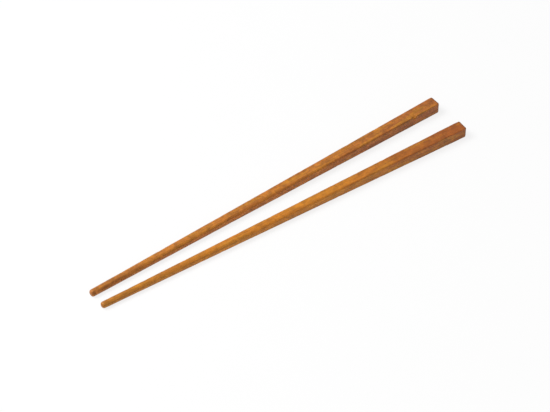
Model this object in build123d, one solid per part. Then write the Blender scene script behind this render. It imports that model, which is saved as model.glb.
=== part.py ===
from build123d import *
import os
from math import atan2, cos, degrees, pi

# A pair of wooden chopsticks lying side by side on a flat surface.
# Each stick is one piece of wood: square at the head, tapering evenly to a thin, nearly round tip.
# Frame: +Z up, the surface at z = 0, +X runs from the tips to the heads, and the origin is the
# middle of the pair's footprint. Left (+Y) and right (-Y) are as seen from the tips.
# All sizes are in millimetres.

# Driving dimensions
stick_length = 230.0
head_side = 6.9           # the square across its flats, at the head
left_tip_side = 4.0       # the same across the tip; the two tips were shaved by hand and differ
right_tip_side = 3.7
head_corner_radius = 0.5  # the long corners at the head, just eased
tip_corner_radius = 1.9   # and at the tip, where hardly any flat is left
rounding_run = 215.0      # distance from the tip over which the long corners are rounded down
head_end_rounding = 0.45  # sanded edge round the head's end face
tip_end_rounding = 1.0    # and round the tip's
underside_sanding = 0.04  # taken off the underside, which leaves one true flat to lie on
tip_spacing = 9.9         # between the two sticks' middles, at the tips
head_spacing = 23.8       # and at the heads
left_lead = 0.4           # how much further the left stick reaches at the tips

# Limits that keep the section a sound one whatever the sizes are
largest_corner_share = 0.48   # a corner's radius, as a share of the side
largest_rounding_share = 0.9  # an end's rounding, as a share of the corner's radius there
section_count = 8


def side_at(run, tip_side):
    """Side of the section at a distance from the tip."""
    return tip_side + (head_side - tip_side) * run / stick_length


def corner_radius_at(run, tip_side):
    """Radius of the long corners at a distance from the tip: a quarter of a cosine wave."""
    share = cos(pi / 2 * min(run / rounding_run, 1))
    radius = head_corner_radius + (tip_corner_radius - head_corner_radius) * share
    return min(radius, largest_corner_share * side_at(run, tip_side))


def section(run, tip_side):
    """Rounded square across the stick, its lower side just under the surface."""
    side = side_at(run, tip_side)
    middle = (run, 0, side / 2 - underside_sanding)
    across = Plane(origin=middle, x_dir=(0, 1, 0), z_dir=(1, 0, 0))
    return across * RectangleRounded(side, side, corner_radius_at(run, tip_side))


def chopstick(tip_side):
    """One stick along +X with its tip at the origin."""
    runs = [stick_length * step / (section_count - 1) for step in range(section_count)]
    stick = loft([section(run, tip_side) for run in runs])
    head_limit = largest_rounding_share * corner_radius_at(stick_length, tip_side)
    tip_limit = largest_rounding_share * corner_radius_at(0, tip_side)
    stick = fillet(stick.edges().group_by(Axis.X)[-1], min(head_end_rounding, head_limit))
    stick = fillet(stick.edges().group_by(Axis.X)[0], min(tip_end_rounding, tip_limit))
    return split(stick, bisect_by=Plane.XY, keep=Keep.TOP)


def laid_down(stick, side_of_pair, lead):
    """The stick in its place in the pair: side_of_pair is 1 for left and -1 for right."""
    splay = degrees(atan2((head_spacing - tip_spacing) / 2, stick_length))
    middle_offset = (head_spacing + tip_spacing) / 4
    centred = Pos(-stick_length / 2 - lead, 0, 0) * stick
    return Pos(0, side_of_pair * middle_offset, 0) * Rot(0, 0, side_of_pair * splay) * centred


pair = {
    "left_chopstick": laid_down(chopstick(left_tip_side), 1, left_lead),
    "right_chopstick": laid_down(chopstick(right_tip_side), -1, 0),
}
boxes = [stick.bounding_box() for stick in pair.values()]
middle_x = (min(box.min.X for box in boxes) + max(box.max.X for box in boxes)) / 2
middle_y = (min(box.min.Y for box in boxes) + max(box.max.Y for box in boxes)) / 2

os.makedirs("parts", exist_ok=True)
for name, stick in pair.items():
    export_step(Pos(-middle_x, -middle_y, 0) * stick, f"parts/{name}.step")
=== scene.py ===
"""Pair of wooden chopsticks: two hand-tapered sticks with an oiled wood finish, and a plain studio."""

import math

import bpy
from bpy.props import FloatProperty, FloatVectorProperty, IntProperty, PointerProperty
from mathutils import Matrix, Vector


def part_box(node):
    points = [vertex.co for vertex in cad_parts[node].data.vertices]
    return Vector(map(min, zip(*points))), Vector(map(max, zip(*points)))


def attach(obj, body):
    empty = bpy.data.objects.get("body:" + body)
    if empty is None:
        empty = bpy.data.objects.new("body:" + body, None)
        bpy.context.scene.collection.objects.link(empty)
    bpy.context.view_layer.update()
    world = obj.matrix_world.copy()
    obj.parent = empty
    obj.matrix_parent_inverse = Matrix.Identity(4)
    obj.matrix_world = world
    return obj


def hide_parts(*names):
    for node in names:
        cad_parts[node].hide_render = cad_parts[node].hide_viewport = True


bl_info = {
    "name": "Wooden Chopsticks",
    "version": (1, 0, 0),
    "blender": (4, 5, 0),
    "location": "View3D > Sidebar > Chopsticks",
    "description": "Makes a pair of tapered wooden chopsticks and the studio they lie in",
    "category": "Add Mesh",
}

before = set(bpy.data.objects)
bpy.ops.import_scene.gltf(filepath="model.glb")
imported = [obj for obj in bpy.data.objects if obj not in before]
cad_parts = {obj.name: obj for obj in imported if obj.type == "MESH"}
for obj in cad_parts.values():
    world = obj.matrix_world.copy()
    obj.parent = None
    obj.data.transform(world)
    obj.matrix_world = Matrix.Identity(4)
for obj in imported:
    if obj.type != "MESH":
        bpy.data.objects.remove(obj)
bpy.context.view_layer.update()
MM = 0.001
QUARTER_TURN = math.pi / 2
DIAGONAL = math.sqrt(0.5)
WHITE = (1.0, 1.0, 1.0, 1.0)

# Mesh density of a stick
CAP_RINGS = 4
ROUNDING_RINGS = 7
BODY_RINGS = 620
FLAT_STEPS = 8
CORNER_STEPS = 8
MERGE_DISTANCE = 0.0005 * MM

# Shape of a stick
END_CLEARANCE = 0.08 * MM
UNDERSIDE_SANDING = 0.04 * MM
ROUNDEST_CORNER = 0.96  # of half the side
NICK_FLOOR = 0.25  # of the nick's half length

# Pitch of the hand sanding and of the dings, in waves to a millimetre
HOLLOW_PITCH = 0.045
HOLLOW_PITCH_ROUND = 0.35
DING_PITCH = 0.16
DING_OFFSETS = (9.0, 5.0)  # keep the dings of the four corners apart
WEAR_SEED_STEP = 17.3

# Marks in the wood: their length along the stick and width across it in mm, an offset that keeps them
# apart from the others, and how rough and how wavy they are
GRAIN_SEED_STEP = 37.0
BANDS = {"length": 17.0, "width": 2.6, "offset": 0.0, "detail": 3.0, "distortion": 0.6}
GROWTH = {"length": 46.0, "width": 0.8, "offset": 11.0, "detail": 4.0, "distortion": 0.4}
FIBRES = {"length": 9.0, "width": 0.16, "offset": 23.0, "detail": 5.0, "roughness": 0.65}
RIPPLE = {"length": 3.6, "width": 3.0, "offset": 41.0, "detail": 2.0, "distortion": 0.8}
PORES = {"length": 2.4, "width": 0.22, "offset": 59.0, "detail": 2.0, "roughness": 0.6}
PORE_GROUPS = {"length": 14.0, "width": 1.6, "offset": 73.0, "detail": 2.0}

# Studio, in metres
FLOOR_REACH = 3.0
FLOOR_WHITE_SHARE = 0.82
KEY_SIZE = 0.9
KEY_PLACE = (-0.75, 0.65, 1.35)
FILL_SIZE = 1.2
FILL_PLACE = (-0.5, -1.5, 0.75)


def length_prop(name, description, default_mm, low_mm=0.0):
    """A size that is given in millimetres and kept in metres."""
    return FloatProperty(
        name=name,
        description=description,
        default=default_mm * MM,
        min=low_mm * MM,
        unit="LENGTH",
        precision=5,
    )


def place_prop(name, description, default_mm):
    """A place that is given in millimetres and kept in metres."""
    return FloatProperty(name=name, description=description, default=default_mm * MM, unit="LENGTH")


def angle_prop(name, description, default_degrees):
    """An angle that is given in degrees and kept in radians."""
    return FloatProperty(
        name=name, description=description, default=math.radians(default_degrees), subtype="ANGLE"
    )


def share_prop(name, description, default):
    """A strength from 0 up."""
    return FloatProperty(name=name, description=description, default=default, min=0.0, subtype="FACTOR")


def colour_prop(name, description, default):
    """A colour in linear red, green and blue."""
    return FloatVectorProperty(
        name=name, description=description, default=default, size=3, min=0.0, max=1.0, subtype="COLOR"
    )


class StickSettings(bpy.types.PropertyGroup):
    """Sizes and colours of one stick."""

    head_side: length_prop("Head side", "Square at the head, across its flats", 6.88, 1)
    tip_side: length_prop("Tip side", "The same across the tip", 3.98, 1)
    head_corner: length_prop("Head corner", "Radius of the long corners at the head", 0.5)
    tip_corner: length_prop("Tip corner", "Radius of the long corners at the tip", 1.9)
    rounding_run: length_prop("Rounding run", "Length over which the corners are rounded down", 215, 1)
    head_end: length_prop("Head end", "Sanded edge round the head's end face", 1.2)
    tip_end: length_prop("Tip end", "Sanded edge round the tip's end face", 1.35)
    waviness: length_prop("Waviness", "Depth of the hollows left by hand sanding", 0.09)
    wear: length_prop("Edge wear", "Depth of the small dings along the long corners", 0.26)
    nick_place: length_prop("Nick place", "Distance of the nick from the head end", 18)
    nick_length: length_prop("Nick length", "Half length of the nick along the corner", 2.2, 0.1)
    nick_depth: length_prop("Nick depth", "Depth of the nick in the upper inner corner", 0)
    seed: IntProperty(name="Seed", description="Seed of the grain and the wear", default=3)
    tip_colour: colour_prop("Tip colour", "Wood colour at the tip", (0.48, 0.172, 0.024))
    middle_colour: colour_prop("Middle colour", "Wood colour at the middle", (0.55, 0.190, 0.022))
    head_colour: colour_prop("Head colour", "Wood colour at the head", (0.41, 0.128, 0.021))
    streak_colour: colour_prop("Streak colour", "Darker growth bands", (0.20, 0.052, 0.009))
    pore_colour: colour_prop("Pore colour", "Open pores filled with oil", (0.060, 0.020, 0.008))
    gold_colour: colour_prop("Gold colour", "Paler golden bands", (0.60, 0.25, 0.018))
    pores: share_prop("Pores", "How strongly the pores show", 0.9)
    streaks: share_prop("Streaks", "How strongly the darker bands show", 0.5)
    ripple: share_prop("Ripple", "How strongly the cross-grain figure shows", 0.55)


class StageSettings(bpy.types.PropertyGroup):
    """Camera, lights and floor."""

    azimuth: angle_prop("Azimuth", "Camera's turn round the pair", -35.25)
    elevation: angle_prop("Elevation", "Camera's height angle", 46.67)
    field: angle_prop("Field of view", "Camera's view from side to side", 15.0)
    distance: length_prop("Distance", "From the camera to what it looks at", 1113.5, 10)
    look_x: place_prop("Look X", "Aim along the pair", -1.26)
    look_y: place_prop("Look Y", "Aim across the pair", 2.55)
    key_power: FloatProperty(name="Key", description="Power of the key light", default=28.2, unit="POWER")
    fill_power: FloatProperty(name="Fill", description="Power of the fill light", default=4.8, unit="POWER")
    sky: FloatProperty(name="Sky", description="Strength of the even room light", default=0.29)
    floor_colour: colour_prop("Floor", "Colour of the floor", (0.90, 0.90, 0.90))


class NodeTree:
    """Short calls for building a node tree: a value or a socket goes into each named or numbered input."""

    # Sockets of the mix node that belong to its colours
    MIX_FACTOR, MIX_FIRST, MIX_SECOND, MIXED = 0, 6, 7, 2

    def __init__(self, tree):
        self.tree = tree

    def feed(self, socket, value):
        if isinstance(value, bpy.types.NodeSocket):
            self.tree.links.new(value, socket)
        else:
            socket.default_value = value

    def add(self, kind, inputs=None, **settings):
        node = self.tree.nodes.new(kind)
        for key, value in settings.items():
            setattr(node, key, value)
        for key, value in (inputs or {}).items():
            self.feed(node.inputs[key], value)
        return node

    def math(self, operation, *values):
        return self.add("ShaderNodeMath", dict(enumerate(values)), operation=operation).outputs[0]

    def sum(self, first, *rest):
        for value in rest:
            first = self.math("ADD", first, value)
        return first

    def product(self, first, *rest):
        for value in rest:
            first = self.math("MULTIPLY", first, value)
        return first

    def remap(self, value, from_min, from_max, to_min, to_max, smooth=False):
        return self.add(
            "ShaderNodeMapRange",
            {0: value, 1: from_min, 2: from_max, 3: to_min, 4: to_max},
            interpolation_type="SMOOTHSTEP" if smooth else "LINEAR",
            clamp=True,
        ).outputs[0]

    def vector(self, x, y, z):
        return self.add("ShaderNodeCombineXYZ", {0: x, 1: y, 2: z}).outputs[0]

    def parts(self, vector):
        """The x, y and z of a vector."""
        return self.add("ShaderNodeSeparateXYZ", {0: vector}).outputs

    def vector_math(self, operation, first, second):
        return self.add("ShaderNodeVectorMath", {0: first, 1: second}, operation=operation).outputs[0]

    def dot(self, first, second):
        node = self.add("ShaderNodeVectorMath", {0: first, 1: second}, operation="DOT_PRODUCT")
        return node.outputs["Value"]

    def scale(self, vector, factor):
        node = self.add("ShaderNodeVectorMath", {0: vector, "Scale": factor}, operation="SCALE")
        return node.outputs[0]

    def turn(self, vector, axis, angle):
        node = self.add("ShaderNodeVectorRotate", {"Vector": vector, "Angle": angle}, rotation_type=axis)
        return node.outputs[0]

    def noise(self, at, scale=1.0, detail=2.0, roughness=0.5, distortion=0.0):
        inputs = {
            "Vector": at,
            "Scale": scale,
            "Detail": detail,
            "Roughness": roughness,
            "Distortion": distortion,
        }
        return self.add("ShaderNodeTexNoise", inputs).outputs[0]

    def mix(self, factor, first, second, blend="MIX"):
        inputs = {self.MIX_FACTOR: factor, self.MIX_FIRST: first, self.MIX_SECOND: second}
        node = self.add("ShaderNodeMix", data_type="RGBA", blend_type=blend, clamp_factor=True)
        for key, value in inputs.items():
            self.feed(node.inputs[key], value)
        return node.outputs[self.MIXED]

    def shaded(self, colour, level):
        """The colour, lighter or darker by that factor."""
        grey = self.add("ShaderNodeCombineColor", {0: level, 1: level, 2: level}).outputs[0]
        return self.mix(1.0, colour, grey, "MULTIPLY")


def rgba(colour):
    return (colour[0], colour[1], colour[2], 1.0)


# ---------------------------------------------------------------- shape of a stick

STICK_SIZES = (
    "Length",
    "Head Side",
    "Tip Side",
    "Head Corner",
    "Tip Corner",
    "Rounding Run",
    "Head End",
    "Tip End",
    "Waviness",
    "Edge Wear",
    "Nick Place",
    "Nick Length",
    "Nick Depth",
    "Inner Side",
    "Turn",
)
STICK_INPUTS = {name: "NodeSocketFloat" for name in STICK_SIZES} | {
    "Seed": "NodeSocketInt",
    "Tip Middle": "NodeSocketVector",
    "Wood": "NodeSocketMaterial",
}


def rings_along(nodes, inputs, ring):
    """Place of a ring along the stick, how far it is drawn in, and 0 at the closed ends to 1 between them."""
    tip_face = float(CAP_RINGS)
    body_start = tip_face + ROUNDING_RINGS
    body_end = body_start + BODY_RINGS
    head_face = body_end + ROUNDING_RINGS
    last = head_face + CAP_RINGS
    tip_angle = nodes.remap(ring, tip_face, body_start, 0.0, QUARTER_TURN)
    body = nodes.remap(ring, body_start, body_end, 0.0, 1.0)
    head_angle = nodes.remap(ring, body_end, head_face, 0.0, QUARTER_TURN)
    tip_cap = nodes.remap(ring, 0.0, tip_face, 0.0, 1.0)
    head_cap = nodes.remap(ring, head_face, last, 1.0, 0.0)
    tip_end, head_end = inputs["Tip End"], inputs["Head End"]
    straight = nodes.math("SUBTRACT", nodes.math("SUBTRACT", inputs["Length"], tip_end), head_end)
    along = nodes.sum(
        nodes.product(tip_end, nodes.math("SUBTRACT", 1.0, nodes.math("COSINE", tip_angle))),
        nodes.product(straight, body),
        nodes.product(head_end, nodes.math("SINE", head_angle)),
    )
    inset = nodes.sum(
        nodes.product(tip_end, nodes.math("SUBTRACT", 1.0, nodes.math("SINE", tip_angle))),
        nodes.product(head_end, nodes.math("SUBTRACT", 1.0, nodes.math("COSINE", head_angle))),
    )
    return along, inset, nodes.product(tip_cap, head_cap)


def point_around(nodes, step, half, radius):
    """Point on a rounded square of that half side and corner radius, and how near it is to a corner."""
    per_side = float(FLAT_STEPS + CORNER_STEPS)
    side = nodes.math("FLOOR", nodes.math("DIVIDE", step, per_side))
    within = nodes.math("SUBTRACT", step, nodes.product(side, per_side))
    flat = nodes.remap(within, 0.0, float(FLAT_STEPS), -1.0, 1.0)
    angle = nodes.remap(within, float(FLAT_STEPS), per_side, 0.0, QUARTER_TURN)
    inner = nodes.math("SUBTRACT", half, radius)
    across = nodes.sum(inner, nodes.product(radius, nodes.math("COSINE", angle)))
    up = nodes.sum(nodes.product(inner, flat), nodes.product(radius, nodes.math("SINE", angle)))
    point = nodes.turn(nodes.vector(0.0, across, up), "X_AXIS", nodes.product(side, QUARTER_TURN))
    corner = nodes.math("SINE", nodes.product(angle, 2.0))
    return point, corner


def cut_corner(nodes, point, direction, limit):
    """Planes the point back to a flat that stands limit away from the middle in that direction."""
    proud = nodes.math("SUBTRACT", nodes.dot(point, direction), limit)
    removed = nodes.scale(direction, nodes.math("MAXIMUM", 0.0, proud))
    return nodes.vector_math("SUBTRACT", point, removed)


def sanded_point(nodes, inputs, point, at, half):
    """The point after the shallow hollows of hand sanding. At is its mm along, shifted by the seed."""
    _, across, up = nodes.parts(point)
    hollow_at = nodes.vector(
        nodes.product(at, HOLLOW_PITCH),
        nodes.product(across, 1.0 / MM, HOLLOW_PITCH_ROUND),
        nodes.product(up, 1.0 / MM, HOLLOW_PITCH_ROUND),
    )
    hollow = nodes.remap(nodes.noise(hollow_at, detail=3.0), 0.3, 0.7, 0.0, 1.0)
    depth = nodes.product(inputs["Waviness"], hollow)
    return nodes.scale(point, nodes.math("SUBTRACT", 1.0, nodes.math("DIVIDE", depth, half)))


def dinged_point(nodes, inputs, point, at, corner_reach):
    """The point after small dings along each of the four long corners."""
    for across, up in ((1, 1), (-1, 1), (1, -1), (-1, -1)):
        ding_at = nodes.vector(nodes.product(at, DING_PITCH), across * DING_OFFSETS[0], up * DING_OFFSETS[1])
        ding = nodes.remap(nodes.noise(ding_at, detail=4.0, roughness=0.6), 0.50, 0.68, 0.0, 1.0)
        limit = nodes.math("SUBTRACT", corner_reach, nodes.product(inputs["Edge Wear"], ding))
        direction = (0.0, across * DIAGONAL, up * DIAGONAL)
        point = cut_corner(nodes, point, direction, limit)
    return point


def nicked_point(nodes, inputs, point, along, corner_reach):
    """The point after the one nick in the upper corner that faces the other stick."""
    nick_at = nodes.math("SUBTRACT", inputs["Length"], inputs["Nick Place"])
    away = nodes.math("DIVIDE", nodes.math("SUBTRACT", along, nick_at), inputs["Nick Length"])
    bowl = nodes.remap(nodes.math("ABSOLUTE", away), NICK_FLOOR, 1.0, 1.0, 0.0, smooth=True)
    limit = nodes.math("SUBTRACT", corner_reach, nodes.product(inputs["Nick Depth"], bowl))
    direction = nodes.vector(0.0, nodes.product(inputs["Inner Side"], DIAGONAL), DIAGONAL)
    return cut_corner(nodes, point, direction, limit)


def worn_point(nodes, inputs, point, along, half, radius):
    """The point after hand sanding, edge wear and the nick."""
    seed = nodes.product(inputs["Seed"], WEAR_SEED_STEP)
    at = nodes.sum(nodes.product(along, 1.0 / MM), seed)
    square_reach = nodes.product(half, math.sqrt(2.0))
    corner_reach = nodes.math("SUBTRACT", square_reach, nodes.product(radius, math.sqrt(2.0) - 1.0))
    point = sanded_point(nodes, inputs, point, at, half)
    point = dinged_point(nodes, inputs, point, at, corner_reach)
    return nicked_point(nodes, inputs, point, along, corner_reach)


def stick_tree():
    """Geometry Nodes tree of a chopstick: square head, rounded tip, eased ends, sanded by hand."""
    tree = bpy.data.node_groups.new("Chopstick", "GeometryNodeTree")
    for name, kind in STICK_INPUTS.items():
        tree.interface.new_socket(name=name, in_out="INPUT", socket_type=kind)
    tree.interface.new_socket(name="Stick", in_out="OUTPUT", socket_type="NodeSocketGeometry")
    nodes = NodeTree(tree)
    inputs = {socket.name: socket for socket in nodes.add("NodeGroupInput").outputs if socket.name}

    # A grid whose rows become the rings of the stick
    around = 4 * (FLAT_STEPS + CORNER_STEPS) + 1
    rings = 2 * (CAP_RINGS + ROUNDING_RINGS) + BODY_RINGS + 1
    grid = nodes.add("GeometryNodeMeshGrid", {"Vertices X": rings, "Vertices Y": around})
    index = nodes.add("GeometryNodeInputIndex").outputs[0]
    ring = nodes.math("FLOOR", nodes.math("DIVIDE", nodes.sum(index, 0.5), float(around)))
    step = nodes.math("SUBTRACT", index, nodes.product(ring, float(around)))
    step = nodes.math("FLOORED_MODULO", step, float(around - 1))

    # Section of the stick at each ring
    along, inset, cap = rings_along(nodes, inputs, ring)
    run_share = nodes.math("DIVIDE", along, inputs["Length"])
    widening = nodes.math("SUBTRACT", inputs["Head Side"], inputs["Tip Side"])
    side = nodes.sum(inputs["Tip Side"], nodes.product(widening, run_share))
    half = nodes.product(side, 0.5)
    wave = nodes.math("COSINE", nodes.remap(along, 0.0, inputs["Rounding Run"], 0.0, QUARTER_TURN))
    rounding = nodes.math("SUBTRACT", inputs["Tip Corner"], inputs["Head Corner"])
    eased = nodes.sum(inputs["Head Corner"], nodes.product(rounding, wave))
    radius = nodes.math("MINIMUM", eased, nodes.product(half, ROUNDEST_CORNER))
    point, corner = point_around(nodes, step, half, radius)
    point = worn_point(nodes, inputs, point, along, half, radius)
    drawn_in = nodes.product(cap, nodes.math("DIVIDE", nodes.math("SUBTRACT", half, inset), half))
    _, across, up = nodes.parts(nodes.scale(point, drawn_in))

    # Laid flat side down, from the tip's middle to the head's
    middle_height = nodes.math("SUBTRACT", half, UNDERSIDE_SANDING)
    height = nodes.math("MAXIMUM", 0.0, nodes.sum(up, middle_height))
    laid = nodes.turn(nodes.vector(along, across, height), "Z_AXIS", inputs["Turn"])
    place = nodes.vector_math("ADD", laid, inputs["Tip Middle"])

    moved = nodes.add("GeometryNodeSetPosition", {"Geometry": grid.outputs["Mesh"], "Position": place})
    named = nodes.add(
        "GeometryNodeStoreNamedAttribute",
        {"Geometry": moved.outputs[0], "Name": "corner", "Value": corner},
        data_type="FLOAT",
        domain="POINT",
    )
    closed = nodes.add(
        "GeometryNodeMergeByDistance", {"Geometry": named.outputs[0], "Distance": MERGE_DISTANCE}
    )
    outward = nodes.add("GeometryNodeFlipFaces", {"Mesh": closed.outputs[0]})
    smooth = nodes.add("GeometryNodeSetShadeSmooth", {"Geometry": outward.outputs[0]})
    real = nodes.add("GeometryNodeRealizeInstances", {"Geometry": smooth.outputs[0]})
    wooden = nodes.add(
        "GeometryNodeSetMaterial", {"Geometry": real.outputs[0], "Material": inputs["Wood"]}
    )
    nodes.add("NodeGroupOutput", {"Stick": wooden.outputs[0]})
    return tree


# ---------------------------------------------------------------- wood


def empty_material(name):
    """A new material and its bare node tree."""
    material = bpy.data.materials.new(name)
    material.use_nodes = True
    material.node_tree.nodes.clear()
    return material, NodeTree(material.node_tree)


def stick_coordinates(nodes, tip_middle, turn):
    """Millimetres along the stick from its tip, across it and up from its underside."""
    coordinates = nodes.add("ShaderNodeTexCoord").outputs["Object"]
    mapping = nodes.add(
        "ShaderNodeMapping",
        {"Vector": coordinates, "Location": tip_middle, "Rotation": (0.0, 0.0, turn), "Scale": (MM, MM, MM)},
        vector_type="TEXTURE",
    )
    return nodes.parts(mapping.outputs[0])


def grain_noise(nodes, place, shift, length, width, offset, **noise_settings):
    """Noise with marks of that length along the stick and that width across it."""
    along, across, up = place
    at = nodes.vector(
        nodes.math("DIVIDE", nodes.sum(along, shift + offset), length),
        nodes.math("DIVIDE", nodes.sum(across, shift + offset), width),
        nodes.math("DIVIDE", up, width),
    )
    return nodes.noise(at, **noise_settings)


def toned_wood(nodes, share, settings):
    """Wood colour that drifts from the tip through the middle to the head."""
    toned = nodes.mix(
        nodes.remap(share, 0.0, 0.35, 0.0, 1.0, smooth=True),
        rgba(settings.tip_colour),
        rgba(settings.middle_colour),
    )
    to_head = nodes.remap(share, 0.55, 0.97, 0.0, 1.0, smooth=True)
    return nodes.mix(to_head, toned, rgba(settings.head_colour))


def end_darkening(nodes, along, length_mm):
    """How much darker the wood is at its two ends, where the end grain drinks more oil."""
    return nodes.math(
        "MAXIMUM",
        nodes.remap(along, 0.05, 0.55, 0.30, 0.0, smooth=True),
        nodes.remap(along, length_mm - 1.6, length_mm - 0.5, 0.0, 0.85, smooth=True),
    )


def wood_material(name, settings, tip_middle, turn, length):
    """Oiled wood with its grain along the stick, worked out in millimetres from the tip."""
    material, nodes = empty_material(name)
    place = stick_coordinates(nodes, tip_middle, turn)
    along = place[0]
    shift = settings.seed * GRAIN_SEED_STEP
    share = nodes.math("DIVIDE", along, length / MM)
    streak_colour = rgba(settings.streak_colour)
    colour = toned_wood(nodes, share, settings)

    # Broad golden and reddish bands, which drift across the stick
    band = nodes.remap(grain_noise(nodes, place, shift, **BANDS), 0.42, 0.66, 0.0, 1.0, smooth=True)
    colour = nodes.mix(nodes.product(band, 0.65), colour, rgba(settings.gold_colour))
    # Darker growth bands
    growth = nodes.remap(grain_noise(nodes, place, shift, **GROWTH), 0.48, 0.70, 0.0, 1.0)
    colour = nodes.mix(nodes.product(growth, settings.streaks), colour, streak_colour)
    # Fine fibres
    fibre = grain_noise(nodes, place, shift, **FIBRES)
    colour = nodes.mix(nodes.remap(fibre, 0.38, 0.72, 0.0, 0.55), colour, streak_colour)
    # Ripple across the grain, as in interlocked wood
    ripple = grain_noise(nodes, place, shift, **RIPPLE)
    light = nodes.remap(ripple, 0.3, 0.7, 1.0 - settings.ripple * 0.5, 1.0 + settings.ripple * 0.5)
    colour = nodes.shaded(colour, light)
    # Open pores: short dark dashes in loose groups, denser towards the head
    dash = nodes.remap(grain_noise(nodes, place, shift, **PORES), 0.60, 0.69, 0.0, 1.0)
    group = nodes.remap(grain_noise(nodes, place, shift, **PORE_GROUPS), 0.38, 0.56, 0.0, 1.0)
    pore = nodes.product(dash, group)
    toward_head = nodes.remap(share, 0.15, 0.9, 0.55, 1.0)
    pore_strength = nodes.product(pore, toward_head, settings.pores)
    colour = nodes.mix(pore_strength, colour, rgba(settings.pore_colour))
    # Oiled end grain, and painted shade that makes the long corners a little darker, more so towards the head
    colour = nodes.mix(end_darkening(nodes, along, length / MM), colour, streak_colour)
    corner = nodes.add("ShaderNodeAttribute", attribute_name="corner").outputs["Fac"]
    # painted shade: the long corners are darkened with the streak colour, more towards the head
    painted_corner_shade = nodes.product(corner, nodes.remap(share, 0.3, 0.8, 0.12, 0.40))
    colour = nodes.mix(painted_corner_shade, colour, streak_colour)

    roughness = nodes.sum(nodes.remap(fibre, 0.3, 0.8, 0.40, 0.56), nodes.product(pore, 0.2))
    relief = nodes.sum(
        nodes.product(fibre, 0.5),
        nodes.product(growth, 0.25),
        nodes.product(pore, -1.2),
        nodes.product(ripple, 0.6),
    )
    bump = nodes.add("ShaderNodeBump", {"Strength": 0.55, "Distance": 0.05 * MM, "Height": relief})
    shader = nodes.add(
        "ShaderNodeBsdfPrincipled",
        {"Base Color": colour, "Roughness": roughness, "Normal": bump.outputs[0]},
    )
    shader.inputs["IOR"].default_value = 1.5
    shader.inputs["Specular IOR Level"].default_value = 0.28
    shader.inputs["Coat Weight"].default_value = 0.03
    shader.inputs["Coat Roughness"].default_value = 0.35
    nodes.add("ShaderNodeOutputMaterial", {"Surface": shader.outputs[0]})
    return material


# ---------------------------------------------------------------- sticks


def stick_ends(node, side_of_pair, settings):
    """Middle of the tip and of the head on the surface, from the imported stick's box."""
    low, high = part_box(node)
    if side_of_pair > 0:
        tip_y = low.y + settings.tip_side / 2
        head_y = high.y - settings.head_side / 2
    else:
        tip_y = high.y - settings.tip_side / 2
        head_y = low.y + settings.head_side / 2
    tip = Vector((low.x + END_CLEARANCE, tip_y, 0.0))
    head = Vector((high.x - END_CLEARANCE, head_y, 0.0))
    return tip, head


def plain_mesh(context, tree, values):
    """The tree's result for those input values, as a mesh with no modifier."""
    blank = bpy.data.objects.new("blank", bpy.data.meshes.new("blank"))
    context.scene.collection.objects.link(blank)
    modifier = blank.modifiers.new("Chopstick", "NODES")
    modifier.node_group = tree
    for item in tree.interface.items_tree:
        if item.in_out == "INPUT":
            modifier[item.identifier] = values[item.name]
    graph = context.evaluated_depsgraph_get()
    mesh = bpy.data.meshes.new_from_object(blank.evaluated_get(graph), depsgraph=graph)
    bpy.data.objects.remove(blank)
    # Set Material leaves an empty slot in front of the wood
    if mesh.materials[0] is None:
        mesh.materials.pop(index=0)
    return mesh


def make_stick(context, node, side_of_pair, settings):
    """One stick as a plain mesh in its place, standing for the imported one. The side is 1 left, -1 right."""
    tip, head = stick_ends(node, side_of_pair, settings)
    line = head - tip
    turn = math.atan2(line.y, line.x)
    values = {
        "Length": line.length,
        "Head Side": settings.head_side,
        "Tip Side": settings.tip_side,
        "Head Corner": settings.head_corner,
        "Tip Corner": settings.tip_corner,
        "Rounding Run": settings.rounding_run,
        "Head End": settings.head_end,
        "Tip End": settings.tip_end,
        "Waviness": settings.waviness,
        "Edge Wear": settings.wear,
        "Nick Place": settings.nick_place,
        "Nick Length": settings.nick_length,
        "Nick Depth": settings.nick_depth,
        "Inner Side": -float(side_of_pair),
        "Turn": turn,
        "Seed": settings.seed,
        "Tip Middle": tip,
        "Wood": wood_material(node + "_wood", settings, tip, turn, line.length),
    }
    tree = bpy.data.node_groups.get("Chopstick") or stick_tree()
    mesh = plain_mesh(context, tree, values)
    if not mesh.polygons:
        raise RuntimeError(f"the tree made no mesh for {node}")
    mesh.name = node.replace("_chopstick", "_stick")
    piece = bpy.data.objects.new(mesh.name, mesh)
    context.scene.collection.objects.link(piece)
    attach(piece, "root")
    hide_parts(node)


class CHOPSTICKS_OT_sticks(bpy.types.Operator):
    """Make the two sticks"""

    bl_idname = "chopsticks.sticks"
    bl_label = "Make Sticks"

    def execute(self, context):
        make_stick(context, "left_chopstick", 1, context.scene.left_stick)
        make_stick(context, "right_chopstick", -1, context.scene.right_stick)
        return {"FINISHED"}


# ---------------------------------------------------------------- studio


def seen_directly(nodes):
    """1 for what the camera sees straight, in a mirror or through glass, and 0 for the light it gives."""
    rays = nodes.add("ShaderNodeLightPath").outputs
    seen = nodes.math("MAXIMUM", rays["Is Camera Ray"], rays["Is Glossy Ray"])
    return nodes.math("MAXIMUM", seen, rays["Is Transmission Ray"])


def floor_material(colour):
    """Pale floor that keeps the shadow and meets the white background."""
    material, nodes = empty_material("studio_floor")
    coordinates = nodes.add("ShaderNodeTexCoord").outputs["Object"]
    mottle = nodes.remap(nodes.noise(coordinates, scale=40.0, detail=3.0), 0.3, 0.7, 0.985, 1.0)
    pale = nodes.shaded(rgba(colour), mottle)
    lit = nodes.add("ShaderNodeBsdfDiffuse", {"Color": pale}).outputs[0]
    white = nodes.add("ShaderNodeEmission", {"Color": WHITE, "Strength": 1.0}).outputs[0]
    white_share = nodes.product(seen_directly(nodes), FLOOR_WHITE_SHARE)
    whitened = nodes.add("ShaderNodeMixShader", {0: white_share, 1: lit, 2: white})
    nodes.add("ShaderNodeOutputMaterial", {"Surface": whitened.outputs[0]})
    return material


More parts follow.
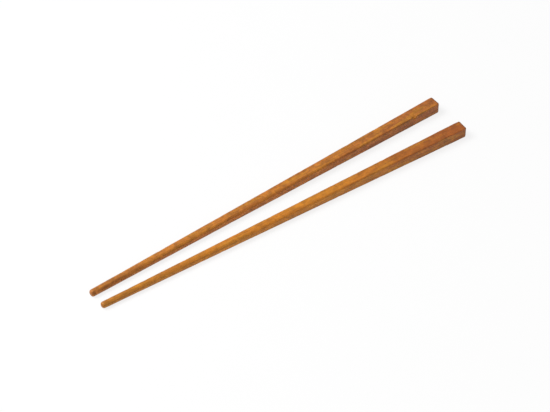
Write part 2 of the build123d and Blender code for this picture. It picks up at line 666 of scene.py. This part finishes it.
def make_floor(context, colour):
    """Square floor at the sticks' undersides."""
    mesh = bpy.data.meshes.new("floor")
    signs = ((-1, -1), (1, -1), (1, 1), (-1, 1))
    corners = [(x * FLOOR_REACH, y * FLOOR_REACH, 0.0) for x, y in signs]
    mesh.from_pydata(corners, [], [(0, 1, 2, 3)])
    mesh.materials.append(floor_material(colour))
    floor = bpy.data.objects.new("floor", mesh)
    context.scene.collection.objects.link(floor)


def make_world(context, strength):
    """Even room light of that strength, seen as white."""
    world = bpy.data.worlds.new("studio")
    world.use_nodes = True
    world.node_tree.nodes.clear()
    nodes = NodeTree(world.node_tree)
    level = nodes.remap(seen_directly(nodes), 0.0, 1.0, strength, 1.0)
    light = nodes.add("ShaderNodeBackground", {"Color": WHITE, "Strength": level})
    nodes.add("ShaderNodeOutputWorld", {"Surface": light.outputs[0]})
    context.scene.world = world


def make_light(context, name, power, size, place):
    """Soft square light aimed at the pair."""
    data = bpy.data.lights.new(name, "AREA")
    data.energy = power
    data.size = size
    light = bpy.data.objects.new(name, data)
    light.location = place
    light.rotation_euler = (-Vector(place)).to_track_quat("-Z", "Y").to_euler()
    context.scene.collection.objects.link(light)


def make_camera(context, stage):
    """Camera that looks down at the pair from its azimuth and elevation."""
    back = Vector(
        (
            math.sin(stage.azimuth) * math.cos(stage.elevation),
            -math.cos(stage.azimuth) * math.cos(stage.elevation),
            math.sin(stage.elevation),
        )
    )
    data = bpy.data.cameras.new("camera")
    data.angle = stage.field
    camera = bpy.data.objects.new("camera", data)
    camera.location = Vector((stage.look_x, stage.look_y, 0.0)) + back * stage.distance
    camera.rotation_euler = (-back).to_track_quat("-Z", "Y").to_euler()
    context.scene.collection.objects.link(camera)
    context.scene.camera = camera


class CHOPSTICKS_OT_stage(bpy.types.Operator):
    """Make the floor, the lights and the camera"""

    bl_idname = "chopsticks.stage"
    bl_label = "Make Stage"

    def execute(self, context):
        stage = context.scene.stick_stage
        make_floor(context, stage.floor_colour)
        make_world(context, stage.sky)
        make_light(context, "key_light", stage.key_power, KEY_SIZE, KEY_PLACE)
        make_light(context, "fill_light", stage.fill_power, FILL_SIZE, FILL_PLACE)
        make_camera(context, stage)
        context.scene.view_settings.view_transform = "Standard"
        return {"FINISHED"}


# ---------------------------------------------------------------- add-on


class CHOPSTICKS_PT_panel(bpy.types.Panel):
    """Sidebar panel with the sizes, the colours and the two operators"""

    bl_idname = "CHOPSTICKS_PT_panel"
    bl_label = "Wooden Chopsticks"
    bl_space_type = "VIEW_3D"
    bl_region_type = "UI"
    bl_category = "Chopsticks"

    def draw(self, context):
        for title, group in (
            ("Left stick", context.scene.left_stick),
            ("Right stick", context.scene.right_stick),
            ("Stage", context.scene.stick_stage),
        ):
            box = self.layout.box()
            box.label(text=title)
            for name in type(group).__annotations__:
                box.prop(group, name)
        self.layout.operator(CHOPSTICKS_OT_sticks.bl_idname)
        self.layout.operator(CHOPSTICKS_OT_stage.bl_idname)


CLASSES = (StickSettings, StageSettings, CHOPSTICKS_OT_sticks, CHOPSTICKS_OT_stage, CHOPSTICKS_PT_panel)


def register():
    for item in CLASSES:
        bpy.utils.register_class(item)
    bpy.types.Scene.left_stick = PointerProperty(type=StickSettings)
    bpy.types.Scene.right_stick = PointerProperty(type=StickSettings)
    bpy.types.Scene.stick_stage = PointerProperty(type=StageSettings)


def unregister():
    for name in ("left_stick", "right_stick", "stick_stage"):
        delattr(bpy.types.Scene, name)
    for item in reversed(CLASSES):
        bpy.utils.unregister_class(item)


def set_up_pair(scene):
    """What tells the two sticks apart: the left one's nick, and the right one's slimmer tip and wood."""
    left, right = scene.left_stick, scene.right_stick
    left.nick_depth = 0.95 * MM
    right.seed = 8
    right.tip_side = 3.68 * MM
    right.pores = 0.6
    right.streaks = 0.36
    right.ripple = 0.42
    right.tip_colour = (0.48, 0.185, 0.015)
    right.middle_colour = (0.61, 0.215, 0.013)
    right.head_colour = (0.34, 0.090, 0.010)


def main():
    register()
    set_up_pair(bpy.context.scene)
    bpy.ops.chopsticks.sticks()
    bpy.ops.chopsticks.stage()


if __name__ == "__main__":
    main()
